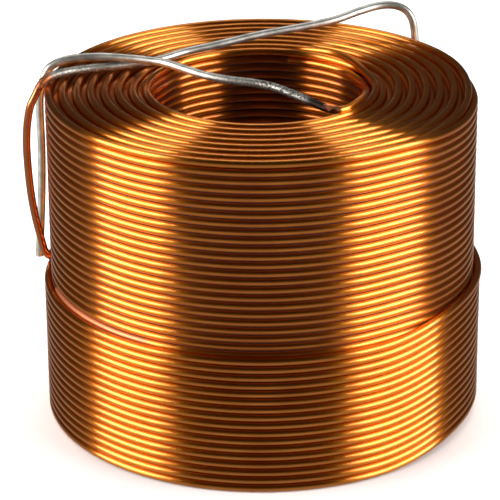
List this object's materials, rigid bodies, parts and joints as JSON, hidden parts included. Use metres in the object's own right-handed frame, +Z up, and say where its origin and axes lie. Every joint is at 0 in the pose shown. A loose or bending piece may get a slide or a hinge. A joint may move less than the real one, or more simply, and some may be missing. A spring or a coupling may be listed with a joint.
{
  "type": "air core inductor",
  "caption": "Cylindrical air core inductor: a self-bonded coil of enamelled copper wire in nested layers, with bare tinned leads formed over its top face.",
  "frame": {"origin": "on the coil's axis, in the plane that its lowest turns stand on", "axes": "+Z up along the coil's axis; the hanging leads are on the -X side, and the outer lead ends towards +X +Y"},
  "size_m": [0.083, 0.0798, 0.0674],
  "materials": {
    "enamelled_copper": "clear amber enamel over round copper wire: glossy, orange in the light and dark brown in the grooves",
    "tinned_copper": "copper wire dipped in solder: bright grey, slightly lumpy, with a ragged dark edge at the enamel"
  },
  "bodies": {
    "root": {"wound_wire": "enamelled_copper", "inner_lead_tinned_end": "tinned_copper", "outer_lead_tinned_end": "tinned_copper"}
  },
  "joints": []
}
